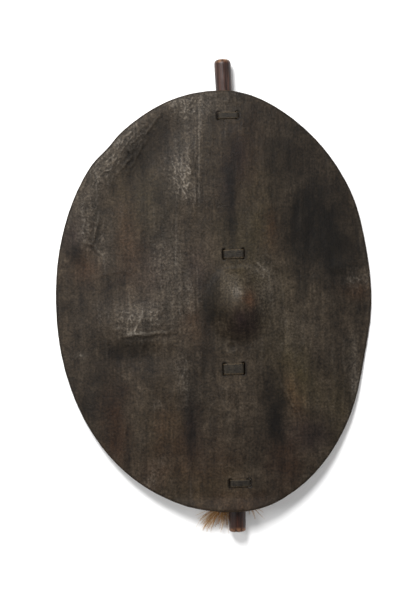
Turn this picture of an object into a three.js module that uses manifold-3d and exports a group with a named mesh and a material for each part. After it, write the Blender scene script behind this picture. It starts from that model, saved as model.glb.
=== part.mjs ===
// Oval hide shield with a raised boss, lashed to a wooden stick by four hide thongs.
//
// Units are millimetres. X runs across the shield, Y along its stick and Z up from the floor.
// The shield lies on its back: the front face looks up, and the two side edges and the
// undersides of the four thongs touch the floor. The hide is one arched sheet. The stick runs
// behind it, and each thong is a flat loop that passes through two slits in the hide and
// round the stick. A tuft of plant fibre is bound to the lower end of the stick.
//
// Shapes are worked out in the shield's own plan, where x = 0, y = 0 is the middle of the
// line between the stick's ends, level with the boss. The finished group is then moved so
// that its origin is the bottom centre of the whole object.

import * as THREE from "three";
import { mergeVertices } from "three/addons/utils/BufferGeometryUtils.js";
import Module from "manifold-3d";

const wasm = await Module();
wasm.setup();

// ---- Driving dimensions ----

const GAP = 0.3; // left between pieces that touch
const MERGE_WITHIN = 1e-4; // vertices closer than this are one

const hide = {
  thickness: 5,
  left: 342, // from the plan's middle line to each edge
  right: 278.5,
  top: 411,
  bottom: 409,
  leftPower: 2.12, // 2 is a true ellipse, and more is squarer
  rightPower: 2,
  spokes: 84,
  rings: 18,
  ringCrowding: 1.3, // over 1 puts more rings near the boss
  sideDrop: 43, // how far the arch would fall to each side edge
  archPower: 1.9,
  restBlend: 3, // softens the flat where a side edge lies on the floor
  standOff: 0.8, // between the thongs the hide stands a little off the stick
};

// Where the cut edge leaves the plain oval: degrees from +X, outward reach, spread in degrees.
const edgeBumps = [
  { at: 38, reach: 4, spread: 12 }, // full upper right shoulder
  { at: 72, reach: -8, spread: 15 },
  { at: 118, reach: -4, spread: 12 },
  { at: 127, reach: -4, spread: 4 }, // small nick
  { at: 335, reach: -6, spread: 16 }, // flattened lower right
];

const boss = {
  x: 16,
  y: -5,
  halfWidth: 70,
  halfLength: 84,
  height: 39,
};

// Broad swells and hollows of the dried hide. turn is degrees from +Y towards -X.
const swells = [
  { x: -148, y: 285, halfWidth: 42, halfLength: 120, turn: -42, rise: -5 }, // valley by the left fold
  { x: -205, y: 300, halfWidth: 34, halfLength: 120, turn: -42, rise: 5 }, // fold along the upper left edge
  { x: -88, y: 255, halfWidth: 30, halfLength: 75, turn: 0, rise: 5 }, // puckered swell
  { x: -190, y: -40, halfWidth: 62, halfLength: 42, turn: 0, rise: 7 }, // bulge above the cross crease
  { x: -180, y: -100, halfWidth: 60, halfLength: 30, turn: 0, rise: -4 },
  { x: -270, y: 95, halfWidth: 22, halfLength: 60, turn: -15, rise: -5 }, // dent near the left edge
  { x: -70, y: -250, halfWidth: 24, halfLength: 95, turn: 0, rise: -4 }, // lower flutes
  { x: 98, y: -215, halfWidth: 26, halfLength: 95, turn: 0, rise: -4 },
  { x: 150, y: 170, halfWidth: 45, halfLength: 110, turn: 8, rise: -5 }, // broad upper right hollow
  { x: 222, y: 60, halfWidth: 22, halfLength: 14, turn: 0, rise: 3 }, // fold at the right edge
  { x: 205, y: -150, halfWidth: 30, halfLength: 70, turn: 12, rise: 4 },
];

const stick = {
  radius: 16.8,
  top: 472, // the ends, along Y
  bottom: -450,
  bow: 6, // sideways, at the middle
  topRound: { inward: 7, along: 8 }, // worn rounder at the top end
  bottomRound: { inward: 3.5, along: 3.5 },
  roundSteps: 4,
  sides: 24,
  stations: 8,
};

const strap = {
  thickness: 3,
  outerCorner: 4.5, // radii of the bends at the front
  innerCorner: 1.8,
  leanStart: 6, // a thong goes straight up past the stick's middle before it leans
  cornerSteps: 6,
  arcFlats: 14, // the round underside, one flat of it lying on the floor
};

// One thong each: y along the stick, width along Y, and how far its front leans along X.
const thongs = [
  { name: "thong_top", y: 360, width: 12, lean: 5 },
  { name: "thong_upper", y: 91, width: 17, lean: 4 },
  { name: "thong_lower", y: -132, width: 21, lean: -3 },
  { name: "thong_bottom", y: -354, width: 14, lean: 6 },
];

const slit = { width: 6.8, overlength: 5, endSteps: 5 };

// Each thong pulls the hide flat against the stick over a small oval seat.
const seat = { halfWidth: 30, border: 12, blend: 0.9 };

const tuft = {
  y: -397, // where it is bound round the stick
  bandWidth: 9,
  bandThickness: 2.4,
  bandBevel: 0.8,
  lockRadius: 2.3,
  lockHalfSides: 3, // a lock is six-sided
  lockSteps: 5,
  hideLift: 6, // the lower edge of the hide lifts over the binding
  liftStart: -378,
};

// Loose locks of fibre. Each leaves the binding at turn degrees below the stick's left side.
const locks = [
  { turn: 2, tip: [-77, -433, 8] },
  { turn: 7, tip: [-66, -443, 4.5] },
  { turn: 12, tip: [-60, -430, 9] },
  { turn: 17, tip: [-51, -447, 5] },
  { turn: 23, tip: [-42, -437, 7] },
  { turn: 29, tip: [-34, -449, 4] },
  { turn: 36, tip: [-25, -440, 3.5] },
];

const finishes = {
  hide: { color: 0x3b332b, roughness: 0.55 },
  stick: { color: 0x4a2a1e, roughness: 0.35 },
  thong: { color: 0x352d25, roughness: 0.6 },
  fibre: { color: 0xa8742f, roughness: 0.85 },
};

// ---- Levels above the floor ----

const stickZ = strap.thickness + GAP + stick.radius;
const hideBackZ = stickZ + stick.radius + GAP;
const hideFrontZ = hideBackZ + hide.thickness;

// ---- Line of the stick ----

function stickX(y) {
  const middle = (stick.top + stick.bottom) / 2;
  const reach = (stick.top - stick.bottom) / 2;
  return stick.bow * (1 - ((y - middle) / reach) ** 2);
}

// ---- Form of the hide ----

const smoothStep = (t) => {
  const s = THREE.MathUtils.clamp(t, 0, 1);
  return s * s * (3 - 2 * s);
};

function smoothMax(a, b, blend) {
  const h = Math.max(blend - Math.abs(a - b), 0) / blend;
  return Math.max(a, b) + (h * h * blend) / 4;
}

function edgePoint(angle) {
  const c = Math.cos(angle);
  const s = Math.sin(angle);
  const halfWidth = c > 0 ? hide.right : hide.left;
  const halfLength = s > 0 ? hide.top : hide.bottom;
  const power = c > 0 ? hide.rightPower : hide.leftPower;
  const sum = Math.abs(c / halfWidth) ** power + Math.abs(s / halfLength) ** power;
  let radius = sum ** (-1 / power);
  for (const bump of edgeBumps) {
    const away = ((THREE.MathUtils.radToDeg(angle) - bump.at + 540) % 360) - 180;
    radius += bump.reach * Math.exp(-((away / bump.spread) ** 2));
  }
  return [radius * c, radius * s];
}

function archDrop(x) {
  const share = x > 0 ? x / hide.right : -x / hide.left;
  return hide.sideDrop * share ** hide.archPower;
}

function bossRise(x, y) {
  const r2 = ((x - boss.x) / boss.halfWidth) ** 2 + ((y - boss.y) / boss.halfLength) ** 2;
  return r2 < 1 ? boss.height * (1 - r2) ** 2 : 0;
}

function swellRise(x, y) {
  let rise = 0;
  for (const swell of swells) {
    const turn = THREE.MathUtils.degToRad(swell.turn);
    const dx = x - swell.x;
    const dy = y - swell.y;
    const across = (dx * Math.cos(turn) + dy * Math.sin(turn)) / swell.halfWidth;
    const along = (dy * Math.cos(turn) - dx * Math.sin(turn)) / swell.halfLength;
    rise += swell.rise * Math.exp(-(across ** 2 + along ** 2));
  }
  return rise;
}

// The lower edge lifts a little, which leaves room for the fibre binding under it.
function lowerLift(y) {
  return tuft.hideLift * smoothStep((tuft.liftStart - y) / (tuft.liftStart + hide.bottom));
}

// 0 on the flat seat under a thong, rising to 1 away from it.
function seatShare(x, y) {
  let share = 1;
  for (const thong of thongs) {
    const across = (x - stickX(thong.y) - thong.lean) / seat.halfWidth;
    const along = (y - thong.y) / (thong.width / 2 + seat.border);
    share *= smoothStep((Math.hypot(across, along) - 1) / seat.blend);
  }
  return share;
}

function frontHeight(x, y) {
  const rise = hide.standOff + bossRise(x, y) + swellRise(x, y) + lowerLift(y) - archDrop(x);
  return smoothMax(hideFrontZ + seatShare(x, y) * rise, hide.thickness, hide.restBlend);
}

function frontNormal(x, y) {
  const step = 0.5;
  const slopeX = (frontHeight(x + step, y) - frontHeight(x - step, y)) / (2 * step);
  const slopeY = (frontHeight(x, y + step) - frontHeight(x, y - step)) / (2 * step);
  return new THREE.Vector3(-slopeX, -slopeY, 1).normalize();
}

// ---- Solids ----

function solidOf(geometry) {
  const plain = geometry.clone();
  plain.deleteAttribute("normal");
  plain.deleteAttribute("uv");
  const merged = mergeVertices(plain, MERGE_WITHIN);
  return new wasm.Manifold(
    new wasm.Mesh({
      numProp: 3,
      vertProperties: new Float32Array(merged.attributes.position.array),
      triVerts: new Uint32Array(merged.index.array),
    }),
  );
}

function geometryOf(solid) {
  const mesh = solid.getMesh();
  const geometry = new THREE.BufferGeometry();
  geometry.setAttribute("position", new THREE.BufferAttribute(mesh.vertProperties, 3));
  geometry.setIndex(new THREE.BufferAttribute(mesh.triVerts, 1));
  geometry.computeVertexNormals();
  return geometry;
}

// The whole sheet before its slits: rings of points run from the boss out to the cut edge,
// on the front face and again one thickness behind it.
function sheetGeometry() {
  const front = [[boss.x, boss.y]];
  for (let ring = 1; ring <= hide.rings; ring++) {
    const share = (ring / hide.rings) ** hide.ringCrowding;
    for (let spoke = 0; spoke < hide.spokes; spoke++) {
      const [ex, ey] = edgePoint((spoke / hide.spokes) * 2 * Math.PI);
      front.push([
        THREE.MathUtils.lerp(boss.x, ex, share),
        THREE.MathUtils.lerp(boss.y, ey, share),
      ]);
    }
  }
  const positions = [];
  for (const [x, y] of front) positions.push(x, y, frontHeight(x, y));
  for (const [x, y] of front) {
    const normal = frontNormal(x, y);
    const z = frontHeight(x, y);
    positions.push(
      x - normal.x * hide.thickness,
      y - normal.y * hide.thickness,
      Math.max(z - normal.z * hide.thickness, 0),
    );
  }

  const back = front.length;
  const at = (ring, spoke) => 1 + (ring - 1) * hide.spokes + (spoke % hide.spokes);
  const index = [];
  for (let spoke = 0; spoke < hide.spokes; spoke++) {
    index.push(0, at(1, spoke), at(1, spoke + 1));
    index.push(back, back + at(1, spoke + 1), back + at(1, spoke));
    for (let ring = 1; ring < hide.rings; ring++) {
      const [a, b] = [at(ring, spoke), at(ring, spoke + 1)];
      const [c, d] = [at(ring + 1, spoke), at(ring + 1, spoke + 1)];
      index.push(a, c, d, a, d, b);
      index.push(back + a, back + d, back + c, back + a, back + b, back + d);
    }
    const [a, b] = [at(hide.rings, spoke), at(hide.rings, spoke + 1)];
    index.push(a, back + a, back + b, a, back + b, b);
  }
  const geometry = new THREE.BufferGeometry();
  geometry.setAttribute("position", new THREE.Float32BufferAttribute(positions, 3));
  geometry.setIndex(index);
  return geometry;
}

// Both slits of a thong: round-ended slots through the hide, one on each side of the stick.
function slitCutters(thong) {
  const halfLength = (thong.width + slit.overlength) / 2;
  const radius = slit.width / 2;
  const outline = new THREE.Shape();
  outline.absarc(0, halfLength - radius, radius, 0, Math.PI);
  outline.absarc(0, radius - halfLength, radius, Math.PI, 2 * Math.PI);
  const reach = stick.radius + GAP + strap.thickness / 2;
  const leanStartZ = stickZ + strap.leanStart;
  const leanShare = (hideBackZ + hide.thickness / 2 - leanStartZ) / (hideFrontZ - leanStartZ);
  return [-1, 1].map((side) => {
    const cutter = new THREE.ExtrudeGeometry(outline, {
      depth: 3 * hide.thickness,
      bevelEnabled: false,
      curveSegments: slit.endSteps,
    });
    const x = stickX(thong.y) + leanShare * thong.lean + side * reach;
    return solidOf(cutter.translate(x, thong.y, hideBackZ - hide.thickness));
  });
}

function hideGeometry() {
  let sheet = solidOf(sheetGeometry());
  for (const cutter of thongs.flatMap(slitCutters)) sheet = sheet.subtract(cutter);
  return geometryOf(sheet);
}

// A round pole with rounded-off flat ends, bowed a little to one side.
function stickGeometry() {
  const corner = (y, direction, round) => {
    const points = [];
    for (let step = 0; step <= stick.roundSteps; step++) {
      const turn = (step / stick.roundSteps) * (Math.PI / 2);
      points.push(
        new THREE.Vector2(
          stick.radius - round.inward * (1 - Math.sin(turn)),
          y + direction * round.along * (1 - Math.cos(turn)),
        ),
      );
    }
    return points;
  };
  const bottom = corner(stick.bottom, 1, stick.bottomRound);
  const top = corner(stick.top, -1, stick.topRound).reverse();
  const profile = [new THREE.Vector2(0, stick.bottom), ...bottom];
  for (let i = 1; i < stick.stations; i++) {
    const y = THREE.MathUtils.lerp(bottom.at(-1).y, top[0].y, i / stick.stations);
    profile.push(new THREE.Vector2(stick.radius, y));
  }
  profile.push(...top, new THREE.Vector2(0, stick.top));
  const geometry = new THREE.LatheGeometry(profile, stick.sides);
  const position = geometry.attributes.position;
  for (let i = 0; i < position.count; i++) {
    position.setX(i, position.getX(i) + stickX(position.getY(i)));
    position.setZ(i, position.getZ(i) + stickZ);
  }
  return geometryOf(solidOf(geometry));
}

// One side of a thong's loop, seen along the stick: round the back of the stick, up both
// sides and flat across the front. offset is how far it stands off the inside of the loop.
function loopPath(path, centreX, lean, offset, corner) {
  const points = [];
  const add = (x, z) => points.push(new THREE.Vector2(x, z));
  const radius = stick.radius + GAP + offset;
  const vertexRadius = radius / Math.cos(Math.PI / (2 * strap.arcFlats));
  for (let i = 0; i < strap.arcFlats; i++) {
    const turn = Math.PI + ((i + 0.5) / strap.arcFlats) * Math.PI;
    add(centreX + vertexRadius * Math.cos(turn), stickZ + vertexRadius * Math.sin(turn));
  }
  add(centreX + radius, stickZ + strap.leanStart);
  for (const side of [1, -1]) {
    for (let i = 0; i <= strap.cornerSteps; i++) {
      const turn = ((side > 0 ? i : strap.cornerSteps - i) / strap.cornerSteps) * (Math.PI / 2);
      add(
        centreX + lean + side * (radius - corner + corner * Math.cos(turn)),
        hideFrontZ + GAP + offset - corner + corner * Math.sin(turn),
      );
    }
  }
  add(centreX - radius, stickZ + strap.leanStart);
  return path.setFromPoints(points);
}

function thongGeometry(thong) {
  const x = stickX(thong.y);
  const outline = loopPath(new THREE.Shape(), x, thong.lean, strap.thickness, strap.outerCorner);
  outline.holes.push(loopPath(new THREE.Path(), x, thong.lean, 0, strap.innerCorner));
  const loop = new THREE.ExtrudeGeometry(outline, { depth: thong.width, bevelEnabled: false });
  // The outline's (x, z) becomes the frame's X and Z, and its depth runs along the stick.
  loop.rotateX(Math.PI / 2);
  loop.translate(0, thong.y + thong.width / 2, 0);
  return geometryOf(solidOf(loop));
}

// A band wound round the stick, with loose locks fanning out below the hide's lower edge.
function tuftGeometry() {
  const inner = stick.radius + GAP;
  const outer = inner + tuft.bandThickness;
  const half = tuft.bandWidth / 2;
  const bevel = tuft.bandBevel;
  const profile = [
    [inner, -half],
    [outer - bevel, -half],
    [outer, bevel - half],
    [outer, half - bevel],
    [outer - bevel, half],
    [inner, half],
    [inner, -half],
  ].map(([r, y]) => new THREE.Vector2(r, y));
  const band = new THREE.LatheGeometry(profile, stick.sides);
  const x = stickX(tuft.y);
  let solid = solidOf(band.translate(x, tuft.y, stickZ));

  const section = new THREE.Shape().absarc(0, 0, tuft.lockRadius, 0, 2 * Math.PI);
  const rootRadius = outer + tuft.lockRadius / 2;
  for (const lock of locks) {
    const turn = THREE.MathUtils.degToRad(lock.turn);
    const root = new THREE.Vector3(
      x - rootRadius * Math.cos(turn),
      tuft.y,
      stickZ - rootRadius * Math.sin(turn),
    );
    const tip = new THREE.Vector3(...lock.tip);
    const bend = new THREE.Vector3().lerpVectors(root, tip, 0.5).setY(tuft.y - tuft.bandWidth);
    const length = new THREE.ExtrudeGeometry(section, {
      steps: tuft.lockSteps,
      curveSegments: tuft.lockHalfSides,
      bevelEnabled: false,
      extrudePath: new THREE.QuadraticBezierCurve3(root, bend, tip),
    });
    solid = solid.add(solidOf(length));
  }
  return geometryOf(solid);
}

// ---- The object ----

function piece(name, geometry, finish) {
  const mesh = new THREE.Mesh(geometry, new THREE.MeshStandardMaterial({ ...finish, metalness: 0 }));
  mesh.name = name;
  return mesh;
}

const shield = new THREE.Group();
shield.add(piece("hide", hideGeometry(), finishes.hide));
shield.add(piece("stick", stickGeometry(), finishes.stick));
for (const thong of thongs) shield.add(piece(thong.name, thongGeometry(thong), finishes.thong));
shield.add(piece("fibre_tuft", tuftGeometry(), finishes.fibre));

const extent = new THREE.Box3().setFromObject(shield);
const centre = extent.getCenter(new THREE.Vector3());
shield.position.set(-centre.x, -centre.y, -extent.min.z);

export default shield;
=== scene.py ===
# Oval hide shield: fine relief and finish of every piece, the floor, the light and the camera.
#
# The shield's form is worked out in its own plan, in millimetres: x = 0, y = 0 is the middle of
# the line between the stick's ends, level with the boss. to_row() turns plan millimetres into
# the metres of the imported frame.

import math

import bpy
import numpy as np
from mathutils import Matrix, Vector
from mathutils.geometry import delaunay_2d_cdt


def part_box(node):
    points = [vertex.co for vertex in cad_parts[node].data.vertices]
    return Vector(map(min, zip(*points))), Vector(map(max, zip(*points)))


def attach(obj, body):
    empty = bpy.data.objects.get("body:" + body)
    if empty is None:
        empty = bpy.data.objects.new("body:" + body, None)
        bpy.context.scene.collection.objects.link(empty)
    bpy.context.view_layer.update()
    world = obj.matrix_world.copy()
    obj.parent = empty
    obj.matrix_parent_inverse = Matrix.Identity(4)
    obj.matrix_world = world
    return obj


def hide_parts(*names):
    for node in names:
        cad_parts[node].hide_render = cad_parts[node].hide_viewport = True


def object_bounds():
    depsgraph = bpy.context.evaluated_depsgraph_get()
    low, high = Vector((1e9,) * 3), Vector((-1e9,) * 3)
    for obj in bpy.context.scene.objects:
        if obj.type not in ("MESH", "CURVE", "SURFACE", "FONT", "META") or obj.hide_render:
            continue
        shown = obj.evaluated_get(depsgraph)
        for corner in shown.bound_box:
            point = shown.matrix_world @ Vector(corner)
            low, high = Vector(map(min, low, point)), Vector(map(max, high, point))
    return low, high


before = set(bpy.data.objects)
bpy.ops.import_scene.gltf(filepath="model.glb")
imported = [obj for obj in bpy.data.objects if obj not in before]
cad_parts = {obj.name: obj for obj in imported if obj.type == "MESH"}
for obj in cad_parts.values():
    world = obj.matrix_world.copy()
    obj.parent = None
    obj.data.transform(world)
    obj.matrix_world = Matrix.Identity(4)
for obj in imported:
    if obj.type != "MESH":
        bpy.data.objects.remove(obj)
CAD_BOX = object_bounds()

# ---- Driving dimensions, in plan millimetres ----

GAP = 0.3
HIDE = dict(thickness=5.0, left=342.0, right=278.5, top=411.0, bottom=409.0, left_power=2.12,
            right_power=2.0, side_drop=43.0, arch_power=1.9, rest_blend=3.0, stand_off=0.8)
EDGE_BUMPS = [  # degrees from +X, outward reach, spread in degrees
    (38, 4, 12), (72, -8, 15), (118, -4, 12), (127, -4, 4), (335, -6, 16)]
BOSS = dict(x=16.0, y=-5.0, half_width=70.0, half_length=84.0, height=39.0)
SWELLS = [  # x, y, half width, half length, turn, rise
    (-148, 285, 42, 120, -42, -5), (-205, 300, 34, 120, -42, 5), (-88, 255, 30, 75, 0, 5),
    (-190, -40, 62, 42, 0, 7), (-180, -100, 60, 30, 0, -4), (-270, 95, 22, 60, -15, -5),
    (-70, -250, 24, 95, 0, -4), (98, -215, 26, 95, 0, -4), (150, 170, 45, 110, 8, -5),
    (222, 60, 22, 14, 0, 3), (205, -150, 30, 70, 12, 4)]
STICK = dict(radius=16.8, top=472.0, bottom=-450.0, bow=6.0)
STRAP = dict(thickness=3.0, corner=4.5, lean_start=6.0)
SLIT = dict(width=6.8, overlength=5.0)
SEAT = dict(half_width=30.0, border=12.0, blend=0.9)
THONGS = {"thong_top": 5.0, "thong_upper": 4.0, "thong_lower": -3.0, "thong_bottom": 6.0}  # lean
TUFT = dict(y=-397.0, band_width=9.0, band_thickness=2.4, hide_lift=6.0, lift_start=-378.0)

STICK_Z = STRAP["thickness"] + GAP + STICK["radius"]
HIDE_BACK_Z = STICK_Z + STICK["radius"] + GAP
HIDE_FRONT_Z = HIDE_BACK_Z + HIDE["thickness"]

# ---- Plan and row frame ----

MM = 0.001
ORIGIN = Vector((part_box("hide")[0].x + HIDE["left"] * MM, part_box("stick")[1].y - STICK["top"] * MM, 0))


def to_row(points):
    return np.asarray(points, float) * MM + np.array(ORIGIN)


def thong_places():
    """(name, y, width, lean) of each thong, its place taken from the frame."""
    places = []
    for name, lean in THONGS.items():
        low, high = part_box(name)
        y = ((low.y + high.y) / 2 - ORIGIN.y) / MM
        places.append((name, y, (high.y - low.y) / MM, lean))
    return places


PLACES = thong_places()

# ---- Smooth random fields ----


def lattice_noise(x, y, seed):
    """Gradient noise from about -1 to 1, with features one unit across."""
    ix, iy = np.floor(x).astype(np.int64), np.floor(y).astype(np.int64)
    fx, fy = x - ix, y - iy
    ease_x, ease_y = (t * t * t * (t * (6 * t - 15) + 10) for t in (fx, fy))

    def corner(dx, dy):
        code = ((ix + dx) * 374761393 + (iy + dy) * 668265263 + seed * 144269504) & 0xFFFFFFFF
        code = ((code ^ (code >> 13)) * 1274126177) & 0xFFFFFFFF
        angle = ((code ^ (code >> 16)) & 0xFFFF) * (2 * math.pi / 0x10000)
        return np.cos(angle) * (fx - dx) + np.sin(angle) * (fy - dy)

    low = corner(0, 0) * (1 - ease_x) + corner(1, 0) * ease_x
    high = corner(0, 1) * (1 - ease_x) + corner(1, 1) * ease_x
    return 1.4 * (low * (1 - ease_y) + high * ease_y)


def noise(x, y, size, seed, octaves=3, along=1.0):
    """Layered noise: features about size across and along times as long in Y."""
    total, weight, level = 0, 1.0, 0
    for octave in range(octaves):
        step = 2.0 ** octave / size
        total = total + weight * lattice_noise(x * step, y * step / along, seed + 17 * octave)
        level += weight
        weight *= 0.5
    return total / level


def ridges(x, y, size, seed, octaves=2, along=1.0):
    """Sharp-crested wrinkles, from 0 to 1."""
    total, weight, level = 0, 1.0, 0
    for octave in range(octaves):
        step = 2.0 ** octave / size
        crest = 1 - np.abs(lattice_noise(x * step, y * step / along, seed + 31 * octave)) * 1.6
        total = total + weight * np.clip(crest, 0, 1) ** 3
        level += weight
        weight *= 0.5
    return total / level


def smooth_step(t):
    s = np.clip(t, 0, 1)
    return s * s * (3 - 2 * s)


def smooth_max(a, b, blend):
    h = np.maximum(blend - np.abs(a - b), 0) / blend
    return np.maximum(a, b) + h * h * blend / 4


def patch(x, y, cx, cy, half_width, half_length, turn=0.0):
    """1 at a soft oval's middle, falling to 0 round it. turn is degrees from +Y towards -X."""
    a = math.radians(turn)
    dx, dy = x - cx, y - cy
    across = (dx * math.cos(a) + dy * math.sin(a)) / half_width
    along = (dy * math.cos(a) - dx * math.sin(a)) / half_length
    return np.exp(-(across ** 2 + along ** 2))


# ---- Form of the hide, the same as its solid's ----


def stick_x(y):
    middle, reach = (STICK["top"] + STICK["bottom"]) / 2, (STICK["top"] - STICK["bottom"]) / 2
    return STICK["bow"] * (1 - ((y - middle) / reach) ** 2)


def edge_radius(angle):
    c, s = np.cos(angle), np.sin(angle)
    half_width = np.where(c > 0, HIDE["right"], HIDE["left"])
    half_length = np.where(s > 0, HIDE["top"], HIDE["bottom"])
    power = np.where(c > 0, HIDE["right_power"], HIDE["left_power"])
    radius = (np.abs(c / half_width) ** power + np.abs(s / half_length) ** power) ** (-1 / power)
    for at, reach, spread in EDGE_BUMPS:
        away = (np.degrees(angle) - at + 540) % 360 - 180
        radius = radius + reach * np.exp(-((away / spread) ** 2))
    return radius


def edge_distance(x, y):
    """How far inside the cut edge a point lies."""
    return edge_radius(np.arctan2(y, x)) - np.hypot(x, y)


def seat_share(x, y):
    share = 1.0
    for _, ty, width, lean in PLACES:
        across = (x - stick_x(ty) - lean) / SEAT["half_width"]
        along = (y - ty) / (width / 2 + SEAT["border"])
        share = share * smooth_step((np.hypot(across, along) - 1) / SEAT["blend"])
    return share


def boss_share(x, y):
    """Squared distance from the boss's middle, 1 at its foot."""
    return ((x - BOSS["x"]) / BOSS["half_width"]) ** 2 + ((y - BOSS["y"]) / BOSS["half_length"]) ** 2


def boss_rise(x, y):
    return BOSS["height"] * np.clip(1 - boss_share(x, y), 0, 1) ** 2


def base_rise(x, y):
    arch = np.abs(x) / np.where(x > 0, HIDE["right"], HIDE["left"])
    rise = HIDE["stand_off"] + boss_rise(x, y) - HIDE["side_drop"] * arch ** HIDE["arch_power"]
    for cx, cy, half_width, half_length, turn, height in SWELLS:
        rise = rise + height * patch(x, y, cx, cy, half_width, half_length, turn)
    span = TUFT["lift_start"] + HIDE["bottom"]
    return rise + TUFT["hide_lift"] * smooth_step((TUFT["lift_start"] - y) / span)


# ---- Fine relief of the hide ----

# Creases: path, half width, valley depth, height of the lip to the left of the path, wander.
CREASES = [
    ([(-212, 250), (-190, 274), (-172, 290)], 2.6, 0.5, 0.8, 5),  # crest lines of the upper left fold
    ([(-186, 262), (-164, 292), (-150, 322)], 2.6, 0.4, 0.8, 5),
    ([(-158, 318), (-140, 344), (-118, 366)], 2.4, 0.5, 0.6, 4),
    ([(-267, 113), (-254, 136), (-247, 170)], 3.4, 0.7, 0.9, 4),  # crooked fold near the left edge
    ([(-290, 122), (-266, 112), (-252, 92)], 3.2, 0.5, 0.6, 4),
    ([(-214, -70), (-187, -65), (-138, -64), (-108, -60)], 4.5, 1.0, 0.8, 4),  # cross crease
    ([(-193, -56), (-180, -38), (-170, -14)], 3, -0.7, 0, 3),  # sharp rib above it
    ([(-236, -49), (-214, -44), (-196, -52)], 3, -0.5, 0, 4),
    ([(-238, -126), (-222, -141), (-204, -154)], 2.6, 0.35, 0.3, 3),  # crossed scars
    ([(-240, -150), (-222, -138), (-206, -124)], 2.6, 0.25, 0.2, 3),
    ([(-152, -196), (-146, -188), (-138, -194)], 2.5, -0.4, 0, 2),
    ([(-310, -104), (-298, -98), (-288, -102)], 3, -0.4, 0.2, 2),
    ([(224, 64), (238, 60), (252, 61), (268, 57)], 3, 0.8, -0.5, 3),  # fold at the right edge
    ([(238, 38), (250, 30), (262, 27)], 2.6, 0.4, 0.3, 3),
    ([(43, 76), (58, 63), (73, 50)], 2.6, 0.35, 0.3, 3),
    ([(-275, 48), (-231, 60), (-200, 58), (-165, 66)], 3, 0.25, 0.25, 6),
    ([(-154, 248), (-130, 244), (-109, 246)], 2.5, 0.2, 0.2, 3),
    ([(-52, 398), (-53, 334), (-57, 223), (-60, 150)], 1.9, 0.6, 0.3, 2.5),  # long upright cracks
    ([(-63, 101), (-66, 40), (-67, -40)], 1.8, 0.5, 0.25, 2.5),
    ([(-102, 209), (-106, 100), (-109, -4)], 1.8, 0.35, 0.15, 3),
    ([(-195, 205), (-198, 110), (-201, 20)], 2.4, 0.25, 0.1, 5),
    ([(-84, -176), (-84, -240), (-89, -300)], 4.0, 0.5, 0.1, 4),
    ([(-91, -330), (-92, -360), (-93, -391)], 1.6, 0.6, 0.2, 1.5),
    ([(79, -133), (93, -172), (108, -200), (122, -221), (129, -243)], 1.9, 0.4, 0.4, 2.5),
    ([(168, -135), (160, -180), (145, -228)], 2.6, 0.25, -0.2, 4),
    ([(203, 246), (205, 224), (202, 200)], 2.6, -0.3, 0, 2),
    ([(-92, -129), (-98, -150), (-96, -172)], 2.0, -0.35, 0, 3),
    ([(187, -190), (186, -206)], 2.0, -0.4, 0, 1),
    ([(110, 44), (160, 47), (232, 41)], 3.4, 0.3, -0.2, 6),
]

# Patches of fine wrinkles: x, y, half width, half length, turn, depth, size across, times as long.
WRINKLES = [
    (-88, 250, 26, 40, 14, 1.5, 9, 2.4),  # puckered net upper left
    (-72, 385, 30, 22, 0, 0.8, 7, 1.6),
    (-52, 330, 16, 60, 0, 0.5, 7, 4.0),
    (-196, 296, 22, 62, -42, 1.4, 9, 3.6),  # glossy folds along the upper left edge
    (-178, 322, 30, 60, -42, 0.6, 8, 1.8),
    (-246, 250, 22, 50, -38, 0.6, 8, 1.6),
    (-262, 150, 26, 46, -15, 0.9, 9, 2.0),
    (-180, -28, 70, 30, 0, 0.8, 10, 1.6),
    (-215, -120, 40, 36, 0, 0.5, 11, 1.0),
    (-95, -150, 22, 50, 0, 0.45, 8, 1.8),
    (-28, -62, 26, 42, 0, 0.7, 4.2, 14.0),  # fine upright pleats below the boss's left foot
    (-78, 12, 38, 42, 0, 0.4, 4.0, 12.0),
    (-232, -235, 26, 60, 0, 0.45, 9, 1.4),
    (245, 40, 26, 26, 0, 0.5, 7, 1.4),
    (205, -180, 30, 50, 0, 0.45, 8, 2.0),
    (60, -40, 40, 60, 0, 0.3, 7, 1.4),
]

DIMPLE = dict(x=-1.0, y=-89.0, radius=8.0, depth=1.7, ring=0.25)
LIP = dict(rise=0.35, reach=5.0)  # the hide stands up round each slit
SHOULDER = dict(reach=6.0, drop=0.7)  # the front face rounds off towards the cut edge


def slit_rows():
    """(x, y, half length) of every slit, two for each thong."""
    reach = STICK["radius"] + GAP + STRAP["thickness"] / 2
    lean_z = STICK_Z + STRAP["lean_start"]
    share = (HIDE_BACK_Z + HIDE["thickness"] / 2 - lean_z) / (HIDE_FRONT_Z - lean_z)
    return [(stick_x(y) + share * lean + side * reach, y, (width + SLIT["overlength"]) / 2)
            for _, y, width, lean in PLACES for side in (-1, 1)]


SLITS = slit_rows()


def slit_distance(x, y):
    """Distance outside the nearest slit's wall."""
    nearest = np.full(np.shape(x), 1e3)
    for sx, sy, half in SLITS:
        straight = half - SLIT["width"] / 2
        away = np.hypot(x - sx, np.maximum(np.abs(y - sy) - straight, 0)) - SLIT["width"] / 2
        nearest = np.minimum(nearest, away)
    return nearest


def path_distance(x, y, path):
    """Distance to a path, positive to its left, and how far along it the nearest point is."""
    points = np.array(path, float)
    lengths = np.hypot(*(points[1:] - points[:-1]).T)
    best, signed, along = np.full(np.shape(x), 1e9), np.zeros(np.shape(x)), np.zeros(np.shape(x))
    walked = 0.0
    for a, b, length in zip(points[:-1], points[1:], lengths):
        ux, uy = (b - a) / length
        t = np.clip((x - a[0]) * ux + (y - a[1]) * uy, 0, length)
        dx, dy = x - a[0] - t * ux, y - a[1] - t * uy
        away = np.hypot(dx, dy)
        closer = away < best
        best = np.where(closer, away, best)
        signed = np.where(closer, np.where(ux * dy - uy * dx > 0, away, -away), signed)
        along = np.where(closer, walked + t, along)
        walked += length
    return signed, along / walked


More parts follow.
